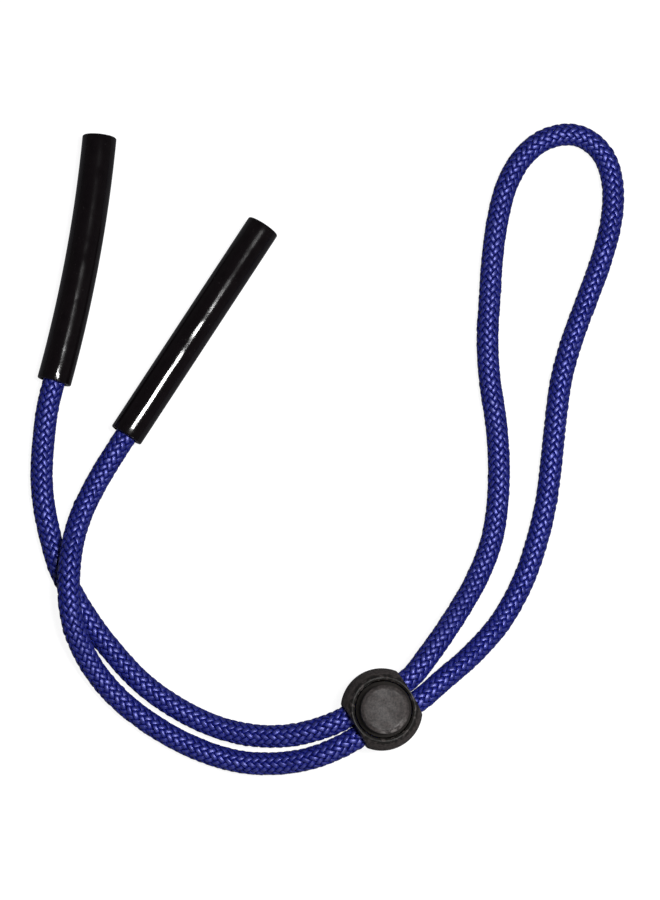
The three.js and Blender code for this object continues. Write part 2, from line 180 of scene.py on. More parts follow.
class ToggleSettings(bpy.types.PropertyGroup):
    ball_radius: size("Ball radius", "Upper half of the ball", 9.65)
    base_radius: size("Base radius", "Flat that the toggle stands on", 3.94)
    slot_height: size("Slot height", "Middle of the cord slot above the base", 10.5)
    slot_half_width: size("Slot half width", "From the toggle's axis to the slot's side", 5.6)
    slot_half_height: size("Slot half height", "From the slot's middle to its roof", 2.9)
    flat_offset: size("Flat offset", "From the toggle's middle to each flat", 7.5)
    bore_radius: size("Bore radius", "Bore that the plunger slides in", 6.8)
    mouth_chamfer: size("Mouth chamfer", "Lead-in at the top of the bore", 0.4)
    button_radius: size("Button radius", "Plunger and its round head", 6.5)
    head_radius: size("Head radius", "Round head of the button", 5.65)
    roof_edge: size("Roof edge", "Over the webs, where the shoulder starts to slope", 0.15)
    roof_thickness: size("Roof thickness", "Over the webs, where shoulder and head meet", 1.3)
    button_edge: size("Button edge", "Width of the sloping edge round the head", 0.85)
    button_edge_drop: size("Button edge drop", "Height of the sloping edge", 0.5)
    button_proud: size("Button height", "How far the head stands above the ball's mouth", 3.6)
    travel: size("Travel", "How far the button goes in", 2.4)
    foot_bottom: size("Foot height", "Underside of the plunger above the base", 5.9)
    pocket_depth: size("Pocket depth", "Spring's seat in the plunger", 0.8)
    well_radius: size("Well radius", "Spring's well in the ball", 3.6)
    well_floor: size("Well floor", "Material under the spring", 1.4)
    lug_width: size("Lug width", "Stop on each side of the plunger", 1.8)
    lug_height: size("Lug height", "Stop on each side of the plunger", 1.6)
    lug_proud: size("Lug", "How far a stop stands out", 0.5)
    clearance: size("Clearance", "Between the parts that slide", 0.3)
    wire: size("Wire diameter", "Spring wire", 0.55)
    coil: size("Coil diameter", "Outside of the spring", 6.6)
    coil_low: size("Coil bottom", "Lowest point of the spring", 1.55)
    coil_high: size("Coil top", "Highest point of the spring", 6.55)
    turns: bpy.props.FloatProperty(
        name="Turns", description="Turns of the spring", default=3.5, min=1, max=12)
    ball_colour: tint("Ball", "Moulded ball", (0.0205, 0.0165, 0.0155))
    button_colour: tint("Button", "Moulded button", (0.012, 0.010, 0.0097))
    steel: tint("Steel", "Spring wire", (0.56, 0.56, 0.58))


class StageSettings(bpy.types.PropertyGroup):
    lens: bpy.props.FloatProperty(
        name="Lens", description="Focal length in millimetres", default=102.36, min=20, max=300)
    eye: bpy.props.FloatVectorProperty(
        name="Eye", description="Where the camera is", default=(-0.0545, 0, 0.612), subtype="TRANSLATION")
    target: bpy.props.FloatVectorProperty(
        name="Target", description="What the camera looks at", default=(-0.01158, 0.06194, 0.0025),
        subtype="TRANSLATION")
    key: bpy.props.FloatProperty(
        name="Key light", description="Power of the main soft light", default=4.2, min=0)
    floor: tint("Floor", "Pale floor", (0.88, 0.86, 0.90))


# ---- helpers for modelling ----

def select_nothing():
    if bpy.context.object is not None and bpy.context.object.mode != "OBJECT":
        bpy.ops.object.mode_set(mode="OBJECT")
    bpy.ops.object.select_all(action="DESELECT")


def select_only(piece):
    select_nothing()
    bpy.context.view_layer.objects.active = piece
    piece.select_set(True)


def settle():
    """Puts the selected object's place and turn into its mesh."""
    bpy.ops.object.transform_apply(location=True, rotation=True, scale=True)


def placed(name):
    """Names and settles the new object."""
    piece = bpy.context.object
    piece.name = piece.data.name = name
    settle()
    return piece


def edit(piece):
    select_only(piece)
    bpy.ops.object.mode_set(mode="EDIT")


def done(piece):
    """Leaves edit mode."""
    bpy.ops.object.mode_set(mode="OBJECT")
    return piece


def pick(piece, kind, passes):
    """Selects the vertices, edges or faces whose place passes, in edit mode."""
    bpy.ops.mesh.select_mode(type=kind)
    bpy.ops.mesh.select_all(action="DESELECT")
    mesh = bmesh.from_edit_mesh(piece.data)
    items = {"VERT": mesh.verts, "EDGE": mesh.edges, "FACE": mesh.faces}[kind]
    chosen = [item for item in items if passes(item)]
    if not chosen:
        raise RuntimeError(f"nothing to select on {piece.name}")
    for item in chosen:
        item.select_set(True)
    bmesh.update_edit_mesh(piece.data)


def at_height(height):
    """Passes a vertex, edge or face that lies flat at a height."""
    def passes(item):
        corners = [item] if isinstance(item, bmesh.types.BMVert) else item.verts
        return all(abs(corner.co.z - height) < FLAT_SLACK for corner in corners)
    return passes


def select_whole():
    bpy.ops.mesh.select_all(action="SELECT")


def extrude(x, y, z):
    bpy.ops.mesh.extrude_region_move(TRANSFORM_OT_translate={"value": (x, y, z)})


def cut_off(place, outward):
    """Cuts off what lies beyond a plane and closes the cut, in edit mode."""
    select_whole()
    bpy.ops.mesh.bisect(
        plane_co=place, plane_no=outward, threshold=CUT_SLACK, clear_outer=True, use_fill=True)


def apply_modifier(piece, kind, **values):
    select_only(piece)
    modifier = piece.modifiers.new(kind.lower(), kind)
    for name, value in values.items():
        setattr(modifier, name, value)
    bpy.ops.object.modifier_apply(modifier=modifier.name)


def combine(piece, tool, operation):
    """Cuts the tool out of the piece, or adds it, and removes the tool."""
    apply_modifier(piece, "BOOLEAN", object=tool, operation=operation, solver="EXACT")
    bpy.data.meshes.remove(tool.data)


def level_direction(heading):
    return Vector((math.cos(heading), math.sin(heading), 0))


def finish(piece, material, cad_node, body):
    """Gives a piece its material and its body, and hides the CAD node that it stands for."""
    piece.data.materials.append(material)
    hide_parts(cad_node)
    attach(piece, body)


def tidy_mesh(piece, smooth_angle):
    """Merges doubles, turns the faces outwards and shades smooth up to an angle."""
    edit(piece)
    select_whole()
    bpy.ops.mesh.remove_doubles(threshold=DOUBLES)
    bpy.ops.mesh.normals_make_consistent(inside=False)
    done(piece)
    bpy.ops.object.shade_smooth_by_angle(angle=math.radians(smooth_angle))
    return piece


# ---- helpers for materials ----

def feed(tree, made, sockets):
    """Sets inputs, by name or index, to a value or to another node's output."""
    for key, value in sockets.items():
        if isinstance(value, bpy.types.NodeSocket):
            tree.links.new(value, made.inputs[key])
        else:
            made.inputs[key].default_value = value


def node(tree, kind, sockets=None, **values):
    made = tree.nodes.new("ShaderNode" + kind)
    for name, value in values.items():
        setattr(made, name, value)
    feed(tree, made, sockets or {})
    return made


def calculate(tree, operation, first, second=0.0):
    return node(tree, "Math", {0: first, 1: second}, operation=operation).outputs[0]


def times(tree, first, second):
    return calculate(tree, "MULTIPLY", first, second)


def remap(tree, value, low, high, start=0.0, end=1.0):
    """Smoothly maps low..high to start..end."""
    sockets = {0: value, 1: low, 2: high, 3: start, 4: end}
    return node(tree, "MapRange", sockets, interpolation_type="SMOOTHSTEP").outputs[0]


def mix_colour(tree, share, first, second):
    return node(tree, "Mix", {0: share, 6: first, 7: second}, data_type="RGBA").outputs[2]


def noise(tree, vector, scale, detail=2.0, roughness=0.5):
    sockets = {"Vector": vector, "Scale": scale, "Detail": detail, "Roughness": roughness}
    return node(tree, "TexNoise", sockets).outputs[0]


def solid(colour):
    return (*colour, 1.0)


def effect(name, inputs, outputs):
    """Starts a node group. Its inputs are vectors (None) and numbers, its outputs are numbers."""
    tree = bpy.data.node_groups.new(name, "ShaderNodeTree")
    for label, default in inputs.items():
        kind = "NodeSocketVector" if default is None else "NodeSocketFloat"
        socket = tree.interface.new_socket(label, in_out="INPUT", socket_type=kind)
        if default is not None:
            socket.default_value = default
    for label in outputs:
        tree.interface.new_socket(label, in_out="OUTPUT", socket_type="NodeSocketFloat")
    return tree, tree.nodes.new("NodeGroupInput").outputs, tree.nodes.new("NodeGroupOutput")


def use(tree, name, sockets):
    """Places a node group in a material with its own values and returns its outputs."""
    made = tree.nodes.new("ShaderNodeGroup")
    made.node_tree = bpy.data.node_groups[name]
    feed(tree, made, sockets)
    return made.outputs


def build_moulded_grain():
    """Fine grain and slow unevenness of a moulded surface."""
    tree, given, out = effect(
        "moulded grain",
        {"Vector": None, "Grain Scale": 2500.0, "Swell Scale": 110.0, "Swell Share": 0.3},
        ("Height", "Mottle"))
    grain = noise(tree, given["Vector"], given["Grain Scale"], 3.0, 0.6)
    swell = noise(tree, given["Vector"], given["Swell Scale"], 1.0)
    height = node(tree, "Mix", {0: given["Swell Share"], 2: grain, 3: swell}).outputs[0]
    coarser = times(tree, given["Grain Scale"], 0.6)
    mottle = noise(tree, given["Vector"], coarser, 4.0, 0.65)
    feed(tree, out, {"Height": height, "Mottle": remap(tree, mottle, 0.3, 0.7)})


def build_handling():
    """Dust and the polish of fingers, in soft patches."""
    tree, given, out = effect(
        "handling marks", {"Vector": None, "Patch Scale": 180.0, "Dust Scale": 1800.0}, ("Polish", "Dust"))
    patch = noise(tree, given["Vector"], given["Patch Scale"], 3.0, 0.55)
    speck = noise(tree, given["Vector"], given["Dust Scale"], 2.0, 0.7)
    feed(tree, out, {"Polish": remap(tree, patch, 0.4, 0.65), "Dust": remap(tree, speck, 0.66, 0.78)})


def build_edge_ring():
    """A ring mask round an upright axis at a round part's edge, all round or on one side: painted shade
    round the ball's mouth, and a painted highlight with a polish on the button's rim.
    """
    tree, given, out = effect(
        "edge ring mask",
        {"Vector": None, "Ring Radius": 0.006, "Ring Width": 0.0005, "Lowest": 0.0, "Side": None,
         "Side Start": -2.0},
        ("Ring Mask",))
    split = node(tree, "SeparateXYZ", {0: given["Vector"]}).outputs
    flat = node(tree, "CombineXYZ", {0: split[0], 1: split[1]}).outputs[0]
    radius = node(tree, "VectorMath", {0: flat}, operation="LENGTH").outputs["Value"]
    away = calculate(tree, "ABSOLUTE", calculate(tree, "SUBTRACT", radius, given["Ring Radius"]))
    near = calculate(tree, "SUBTRACT", 1.0, calculate(tree, "DIVIDE", away, given["Ring Width"]))
    broken = remap(tree, noise(tree, given["Vector"], 900.0, 3.0), 0.35, 0.6)
    above = calculate(tree, "GREATER_THAN", split[2], given["Lowest"])
    outward = node(tree, "VectorMath", {0: flat}, operation="NORMALIZE").outputs[0]
    compared = node(tree, "VectorMath", {0: outward, 1: given["Side"]}, operation="DOT_PRODUCT")
    facing = compared.outputs["Value"]
    turned_to = remap(tree, facing, given["Side Start"], calculate(tree, "ADD", given["Side Start"], 0.5))
    ring_mask = calculate(tree, "MAXIMUM", near, 0.0)
    for share in (broken, turned_to, above):
        ring_mask = times(tree, ring_mask, share)
    feed(tree, out, {"Ring Mask": ring_mask})


def build_fibres():
    """Fine filaments along a yarn, read from the yarn's own map: across, then along in millimetres."""
    tree, given, out = effect(
        "yarn fibres", {"Map": None, "Across": 26.0, "Along": 0.9}, ("Height", "Tone"))
    split = node(tree, "SeparateXYZ", {0: given["Map"]}).outputs
    across = times(tree, split[0], given["Across"])
    along = times(tree, split[1], given["Along"])
    stretched = node(tree, "CombineXYZ", {0: across, 1: along}).outputs[0]
    slower = times(tree, split[1], 0.35)
    slow = node(tree, "CombineXYZ", {0: split[0], 1: slower}).outputs[0]
    feed(tree, out, {
        "Height": noise(tree, stretched, 1.0, 2.0, 0.6),
        "Tone": remap(tree, noise(tree, slow, 2.3, 2.0), 0.3, 0.7)})


def empty_tree(owner):
    owner.use_nodes = True
    owner.node_tree.nodes.clear()
    return owner.node_tree


def new_material(name, colour):
    """Returns a material, its tree, its Principled shader and Object coordinates."""
    made = bpy.data.materials.new(name)
    made.diffuse_color = solid(colour)
    tree = empty_tree(made)
    shader = node(tree, "BsdfPrincipled", {"Base Color": solid(colour)})
    node(tree, "OutputMaterial", {"Surface": shader.outputs[0]})
    return made, tree, shader, node(tree, "TexCoord").outputs["Object"]


def raise_surface(tree, shader, height, distance, strength):
    bump = node(tree, "Bump", {"Height": height, "Distance": distance, "Strength": strength})
    tree.links.new(bump.outputs[0], shader.inputs["Normal"])


def shade(shader, **values):
    for name, value in values.items():
        shader.inputs[name.replace("_", " ")].default_value = value


def braid_material(braid):
    """Lustrous nylon with a painted highlight along the top of each float, and painted shade, near black,
    where a yarn dives and on its sides.
    """
    made, tree, shader, _ = new_material("braid_yarn", braid.blue)
    yarn_map = node(tree, "UVMap", uv_map="yarn").outputs[0]
    crown = node(tree, "Attribute", attribute_name="crown").outputs["Fac"]
    fibres = use(tree, "yarn fibres", {"Map": yarn_map})
    float_top = remap(tree, crown, 0.78, 1.0)
    risen = remap(tree, crown, 0.45, 0.95)
    # painted shade: navy where a yarn dives and on its sides, blue where it rises
    dive_shaded = mix_colour(tree, risen, solid(braid.painted_dive_shade), solid(braid.blue))
    # painted highlight: a brighter blue along each float's top, where metallic and coat also add gloss
    lit = mix_colour(tree, float_top, dive_shaded, solid(braid.painted_sheen))
    tone = remap(tree, fibres["Tone"], 0.0, 1.0, 0.0, 0.4)
    gloss = remap(tree, fibres["Height"], 0.3, 0.7, 0.43, 0.54)
    dull = remap(tree, crown, 0.5, 0.9, 0.95, 0.0)
    feed(tree, shader, {
        "Base Color": mix_colour(tree, tone, lit, (0.004, 0.008, 0.15, 1)),
        "Roughness": calculate(tree, "MAXIMUM", gloss, dull),
        "Metallic": times(tree, float_top, 0.55),
        "Coat Weight": float_top})
    raise_surface(tree, shader, fibres["Height"], 0.00003, 0.4)
    shade(shader, IOR=1.3, Coat_IOR=1.7, Coat_Roughness=0.47)
    return made


def core_shade_material(braid):
    # painted shade: a dark core that shows through the gaps between the yarns as their shade
    made, tree, shader, place = new_material("core_yarn", braid.core)
    yarn_map = node(tree, "UVMap", uv_map="yarn").outputs[0]
    fibres = use(tree, "yarn fibres", {"Map": yarn_map, "Across": 60.0})
    grain = use(tree, "moulded grain", {"Vector": place})
    feed(tree, shader, {
        "Base Color": mix_colour(tree, fibres["Tone"], solid(braid.core), (0.008, 0.008, 0.04, 1)),
        "Roughness": remap(tree, grain["Mottle"], 0, 1, 0.75, 0.95)})
    raise_surface(tree, shader, fibres["Height"], 0.0002, 0.8)
    return made


def moulded_material(name, colour, second, roughness, grain_size, relief, patch=180.0, swell=0.3):
    """Moulded plastic or rubber; roughness gives its two ends, second the mottle's colour."""
    made, tree, shader, place = new_material(name, colour)
    grain = use(tree, "moulded grain", {"Vector": place, "Grain Scale": grain_size, "Swell Share": swell})
    marks = use(tree, "handling marks", {"Vector": place, "Patch Scale": patch})
    shaded = mix_colour(tree, grain["Mottle"], solid(colour), solid(second))
    dust = times(tree, marks["Dust"], 0.10)
    dusty = mix_colour(tree, dust, shaded, (0.20, 0.19, 0.18, 1))
    gloss = remap(tree, marks["Polish"], 0, 1, roughness[1], roughness[0])
    feed(tree, shader, {"Base Color": dusty, "Roughness": gloss})
    raise_surface(tree, shader, grain["Height"], relief, 1.0)
    return made, tree, shader, place, dusty


def sleeve_material(sleeve):
    made, _, shader, _, _ = moulded_material(
        "sleeve_rubber", sleeve.rubber, (0.0055, 0.0040, 0.0048), (0.09, 0.14), 700.0, 0.0002, 120.0,
        0.985)
    shade(shader, IOR=1.42)
    return made


def ball_material(toggle):
    made, tree, shader, place, dusty = moulded_material(
        "ball_plastic", toggle.ball_colour, (0.068, 0.057, 0.054), (0.55, 0.7), 2600.0, 0.00012)
    # painted shade: the ring round the ball's mouth is darkened almost to black
    mouth_shade = use(tree, "edge ring mask", {
        "Vector": place, "Ring Radius": toggle.bore_radius + toggle.mouth_chamfer, "Ring Width": 0.0012,
        "Lowest": 0.015})["Ring Mask"]
    dull = remap(tree, mouth_shade, 0.0, 0.25, 0.0, 0.97)
    feed(tree, shader, {"Base Color": mix_colour(tree, dull, dusty, (0.007, 0.006, 0.005, 1))})
    shade(shader, IOR=1.4)
    return made


def button_material(toggle):
    made, tree, shader, place, dusty = moulded_material(
        "button_plastic", toggle.button_colour, (0.052, 0.042, 0.040), (0.6, 0.75), 3000.0, 0.00008)
    # painted highlight: the front side of the head's sloping edge is lighter; the same ring also lowers its
    # roughness
    rim_highlight_and_polish = use(tree, "edge ring mask", {
        "Vector": place, "Ring Radius": toggle.head_radius - toggle.button_edge / 2,
        "Ring Width": 0.0009, "Lowest": 0.019, "Side": (0.42, -0.91, 0.0), "Side Start": 0.55})["Ring Mask"]
    with_painted_highlight = mix_colour(tree, rim_highlight_and_polish, dusty, (0.17, 0.155, 0.15, 1))
    moulded = shader.inputs["Roughness"].links[0].from_socket
    polished = times(tree, rim_highlight_and_polish, 0.4)
    # painted shade: the button darkens below its head, in the groove round it
    height = node(tree, "SeparateXYZ", {0: place}).outputs[2]
    painted_recess_shade = remap(tree, height, 0.0190, 0.0176)
    feed(tree, shader, {
        "Base Color": mix_colour(tree, painted_recess_shade, with_painted_highlight, (0.020, 0.017, 0.015, 1)),
        "Roughness": calculate(tree, "SUBTRACT", moulded, polished)})
    return made


def steel_material(toggle):
    made, tree, shader, place = new_material("spring_wire", toggle.steel)
    marks = use(tree, "handling marks", {"Vector": place, "Patch Scale": 900.0})
    drawn = use(tree, "moulded grain", {"Vector": place, "Grain Scale": 5200.0})
    feed(tree, shader, {
        "Base Color": mix_colour(tree, marks["Polish"], solid(toggle.steel), (0.38, 0.38, 0.40, 1)),
        "Roughness": remap(tree, marks["Polish"], 0, 1, 0.22, 0.38)})
    raise_surface(tree, shader, drawn["Height"], 0.00001, 1.0)
    shade(shader, Metallic=1.0)
    return made


# ---- the cord ----

def sleeve_point(lie, distance, sleeve):
    """A point on a sleeve's centreline, at a distance in millimetres from its mouth."""
    share = distance * MM / sleeve.length
    turn = math.radians(lie["bend"]) * share / 2
    chord = distance * (math.sin(turn) / turn if turn else 1)
    angle = math.radians(lie["heading"]) + turn
    height = sleeve.diameter / 2 / MM
    x, y = lie["mouth"]
    return (x + chord * math.cos(angle), y + chord * math.sin(angle), height)


def strand_point(side, distance):
    """A point on one of the two strands inside the toggle."""
    cosine, sine = math.cos(TOGGLE_TURN), math.sin(TOGGLE_TURN)
    across = side * STRAND_OFFSET
    return (distance * cosine - across * sine, distance * sine + across * cosine, STRAND_HEIGHT)


def lifted(route):
    return [(x, y, CORD_RADIUS + lift) for x, y, lift in route]


def tail_points(lie, route, side, sleeve):
    inside = [sleeve_point(lie, depth, sleeve) for depth in (CORD_INSERTION, CORD_INSERTION / 2, 0)]
    straight = (-STRAND_STRAIGHT, -STRAND_STRAIGHT / 2, -CORD_SPLIT_GAP / 2)
    return [*inside, *lifted(route), *(strand_point(side, distance) for distance in straight)]


def loop_points():
    straight = (CORD_SPLIT_GAP / 2, STRAND_STRAIGHT / 2, STRAND_STRAIGHT)
    out = [strand_point(1, distance) for distance in straight]
    back = [strand_point(-1, distance) for distance in reversed(straight)]
    return [*out, *lifted(LOOP), *back]


def smooth_line(points, step, ease):
    """An even, gently eased curve through the points (a centripetal Catmull-Rom), in their own unit."""
    between, bell = 48, 3  # samples between two points, and the easing's reach in its own width
    p = np.array(points, float)
    p = np.vstack([2 * p[0] - p[1], p, 2 * p[-1] - p[-2]])
    pieces = []
    t = np.linspace(0, 1, between, endpoint=False)[:, None]
    for a, b, c, d in zip(p[:-3], p[1:-2], p[2:-1], p[3:]):
        ab, bc, cd = (math.sqrt(np.linalg.norm(v - u)) for u, v in ((a, b), (b, c), (c, d)))
        leave = ((b - a) / ab - (c - a) / (ab + bc) + (c - b) / bc) * bc
        arrive = ((c - b) / bc - (d - b) / (bc + cd) + (d - c) / cd) * bc
        pieces.append(b + leave * t + (3 * (c - b) - 2 * leave - arrive) * t ** 2
                      + (2 * (b - c) + leave + arrive) * t ** 3)
    line = np.vstack([*pieces, p[-2:-1]])
    line = even(line, step)
    reach = int(bell * ease / step)
    window = np.exp(-0.5 * (np.arange(-reach, reach + 1) * step / ease) ** 2)
    window /= window.sum()
    front = 2 * line[0] - line[reach:0:-1]
    rear = 2 * line[-1] - line[-2:-reach - 2:-1]
    padded = np.vstack([front, line, rear])
    return even(np.stack([np.convolve(padded[:, k], window, "valid") for k in range(3)], axis=1), step)


def even(line, step):
    along = np.concatenate([[0], np.cumsum(np.linalg.norm(np.diff(line, axis=0), axis=1))])
    at = np.linspace(0, along[-1], max(2, round(along[-1] / step) + 1))
    return np.stack([np.interp(at, along, line[:, k]) for k in range(3)], axis=1)


def distances(line):
    """How far along an even line each of its points lies."""
    return np.arange(len(line)) * np.linalg.norm(line[1] - line[0])


def unit(rows):
    return rows / np.linalg.norm(rows, axis=1)[:, None]


def frames_along(line):
    """A pair of directions across the line that never spin round it."""
    tangent = unit(np.gradient(line, axis=0))
    first = np.zeros_like(line)
    guide = np.array([0.0, 0.0, 1.0])
    for i, forward in enumerate(tangent):
        guide = guide - forward * guide.dot(forward)
        guide /= np.linalg.norm(guide)
        first[i] = guide
    return first, np.cross(tangent, first)


def grid_mesh(name, rings, across, along, crown=None):
    """A mesh of closed tubes; rings holds tubes, steps, corners of the section, xyz."""
    tubes, steps, sides, _ = rings.shape
    tube, step, side = np.meshgrid(np.arange(tubes), np.arange(steps - 1), np.arange(sides), indexing="ij")
    after = (side + 1) % sides

    def number(s, k):
        return (tube * steps + s) * sides + k

    corners = ((step, side), (step, after), (step + 1, after), (step + 1, side))
    quads = np.stack([number(s, k) for s, k in corners], -1).reshape(-1, 4)
    base = np.arange(tubes) * steps * sides
    order = np.arange(sides)
    first_caps = base[:, None] + order[None, ::-1]
    last_caps = base[:, None] + (steps - 1) * sides + order[None, :]
    faces = quads.tolist() + first_caps.tolist() + last_caps.tolist()
    mesh = bpy.data.meshes.new(name)
    mesh.from_pydata(rings.reshape(-1, 3).tolist(), [], faces)
    u = np.stack([side, side + 1, side + 1, side], -1) / sides + across[tube][..., None]
    v = np.stack([along[step], along[step], along[step + 1], along[step + 1]], -1)
    corner_map = np.stack([u, v], -1).reshape(-1, 2)
    caps = np.zeros((2 * tubes * sides, 2))
    layer = mesh.uv_layers.new(name="yarn")
    layer.data.foreach_set("uv", np.vstack([corner_map, caps]).astype(np.float32).ravel())
    if crown is not None:
        field = mesh.attributes.new("crown", "FLOAT", "POINT")
        field.data.foreach_set("value", crown.astype(np.float32).ravel())
    mesh.polygons.foreach_set("use_smooth", np.ones(len(mesh.polygons), bool))
    mesh.update()
    piece = bpy.data.objects.new(name, mesh)
    bpy.context.scene.collection.objects.link(piece)
    return piece


def slow_noise(random, count, length):
    """Slow random wanders along a yarn: their values, and where along it these lie."""
    knots = max(4, int(length / KNOT_SPACING))
    return random.normal(0, 1.0, (count, knots)), np.linspace(0, 1, knots)


def braid_stretch(name, line, braid, seed):
    """Interlaces flat yarns, two over and two under, round a line given in millimetres."""
    random = np.random.default_rng(seed)
    along = distances(line)
    first, second = frames_along(line)
    n = braid.carriers
    lead = braid.braid_lead / MM
    half_width, half_thick = braid.yarn_width / MM / 2, braid.yarn_thickness / MM / 2
    wave = braid.yarn_wave / MM
    middle = (braid.cord_diameter + braid.fullness) / MM / 2 - wave - half_thick
    level = along * 2 * n / lead
    flatness = braid.float_flatness
    rings, crowns = [], []
    # a yarn's section at its six corners: across, through, and each one's share of the crown, lower on the
    # sides and underside, which the material paints darker as painted shade
    side_share = np.array([1, 0.62, -0.62, -1, -0.62, 0.62])
    thick_share = np.array([0, -0.95, -0.95, 0, 0.95, 0.95])
    ridge = np.array([0.55, 0.3, 0.3, 0.55, 1, 1])
    knots, knot_at = slow_noise(random, 6 * n, along[-1])
    share = along / along[-1]
    for way in (1, -1):
        for i in range(n):
            row = (n if way < 0 else 0) + i
            phase = (level + 2 * i - 0.5) if way > 0 else (2 * i - level - 2.5)
            rise = np.tanh(flatness * np.cos(phase * math.pi / 2)) / math.tanh(flatness)
            wander = np.interp(share, knot_at, knots[row])
            swell = np.interp(share, knot_at, knots[row + 2 * n])
            tilt = braid.yarn_tilt * np.interp(share, knot_at, knots[row + 4 * n])[:, None]
            angle = 2 * math.pi * (i / n + way * along / lead) + YARN_DRIFT * wander
            radius = middle + wave * rise + YARN_LIFT * swell
            outward = np.cos(angle)[:, None] * first + np.sin(angle)[:, None] * second
            centre = line + radius[:, None] * outward
            forward = unit(np.gradient(centre, axis=0))
            normal = unit(outward - forward * (outward * forward).sum(1)[:, None])
            across = np.cross(forward, normal)
            across, normal = (across * np.cos(tilt) + normal * np.sin(tilt),
                              normal * np.cos(tilt) - across * np.sin(tilt))
            wide = half_width * (0.94 + 0.06 * rise + 0.05 * swell)
            rings.append(
                centre[:, None, :]
                + wide[:, None, None] * side_share[None, :, None] * across[:, None, :]
                + half_thick * thick_share[None, :, None] * normal[:, None, :])
            crowns.append((0.5 + 0.5 * rise)[:, None] * ridge)
    rings = np.array(rings) * MM
    map_shift = np.arange(2 * n) * 1.37  # so that no two yarns show the same fibres
    return grid_mesh(name, rings, map_shift, along, np.array(crowns))


def core_stretch(name, line, braid):
    """The bundle of core yarns inside the braid: a rod with shallow, slowly winding flutes."""
    along = distances(line)
    first, second = frames_along(line)
    sides, flutes, flute_depth, flute_wind = 20, 5, 0.035, 6
    angles = np.arange(sides) * 2 * math.pi / sides
    flute = 1 + flute_depth * np.cos(flutes * angles[None, :] - along[:, None] / flute_wind)
    radius = braid.core_diameter / MM / 2 * flute
    ring = (line[:, None, :]
            + (radius * np.cos(angles))[..., None] * first[:, None, :]
            + (radius * np.sin(angles))[..., None] * second[:, None, :])
    return grid_mesh(name, ring[None] * MM, np.zeros(1), along)


class RETAINER_OT_cord(bpy.types.Operator):
    """Make the braided cord: left tail, loop and right tail, with the core inside each"""
    bl_idname = "retainer.cord"
    bl_label = "Braided cord"

    def execute(self, context):
        braid, sleeve = context.scene.retainer_braid, context.scene.retainer_sleeve
        yarn, core_shade_finish = braid_material(braid), core_shade_material(braid)
        along_toggle = level_direction(TOGGLE_TURN)
        tail_blend = [Vector((x * MM, 0, 0)) for x in TAIL_BLEND]
        loop_blend = [along_toggle * distance * MM for distance in LOOP_BLEND]
        left_route = tail_points(LEFT_SLEEVE, LEFT_TAIL, 1, sleeve)
        right_route = tail_points(RIGHT_SLEEVE, RIGHT_TAIL, -1, sleeve)
        stretches = (
            ("left_tail", left_route, sleeve_point(LEFT_SLEEVE, 0, sleeve), tail_blend, 11),
            ("loop", loop_points(), strand_point(1, STRAND_LEAVES), loop_blend, 12),
            ("right_tail", right_route, sleeve_point(RIGHT_SLEEVE, 0, sleeve), tail_blend, 13),
        )
        for name, points, leaves, (start, end), seed in stretches:
            line = smooth_line(points, LINE_STEP, LINE_EASE)
            cord = braid_stretch(name + "_braid", line, braid, seed)
            core = core_stretch(name + "_core_yarns", even(line, CORE_STEP), braid)
            cord.data.materials.append(yarn)
            core.data.materials.append(core_shade_finish)
            for piece, slot, body in ((cord, "cord_braid", "sheath"), (core, "cord_core", "core")):
                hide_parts(f"{name}_{body}")
                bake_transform(piece)
        return {"FINISHED"}


# ---- the sleeves ----

SLEEVE_SIDES = 72
SLEEVE_STEPS = 30


def make_sleeve(name, lie, sleeve):
    """A tube with rounded rims, extruded or spun along its line."""
    bend = math.radians(lie["bend"])
    forward = level_direction(math.radians(lie["heading"]))
    left = Vector((-forward.y, forward.x, 0))
    mouth = Vector(sleeve_point(lie, 0, sleeve)) * MM
    select_nothing()
    bpy.ops.mesh.primitive_circle_add(
        vertices=SLEEVE_SIDES, radius=sleeve.diameter / 2, fill_type="NGON", location=mouth,
        rotation=forward.to_track_quat("Z", "Y").to_euler())
    tube = placed(name)
    edit(tube)
    select_whole()
    bpy.ops.mesh.inset(thickness=(sleeve.diameter - sleeve.bore) / 2)
    bpy.ops.mesh.delete(type="FACE")
    select_whole()
    if bend:
        centre = mouth + left * (sleeve.length / bend)
        bpy.ops.mesh.spin(steps=SLEEVE_STEPS, angle=bend, center=centre, axis=-UP)
    else:
        for _ in range(SLEEVE_STEPS):
            extrude(*(forward * (sleeve.length / SLEEVE_STEPS)))
    select_whole()
    bpy.ops.mesh.remove_doubles(threshold=TINY)
    bpy.ops.mesh.normals_make_consistent(inside=False)
    last = Vector(sleeve_point(lie, sleeve.length / MM, sleeve)) * MM
    ahead = Matrix.Rotation(bend, 3, "Z") @ forward

    def on_an_end(edge):
        at_mouth = all(abs((corner.co - mouth).dot(forward)) < FLAT_SLACK for corner in edge.verts)
        at_tip = all(abs((corner.co - last).dot(ahead)) < FLAT_SLACK for corner in edge.verts)
        sharp = len(edge.link_faces) == 2 and edge.calc_face_angle() > 1
        return (at_mouth or at_tip) and sharp

    pick(tube, "EDGE", on_an_end)
    bpy.ops.mesh.bevel(offset=sleeve.rim, segments=4, profile=0.5)
    return tidy_mesh(done(tube), 50)


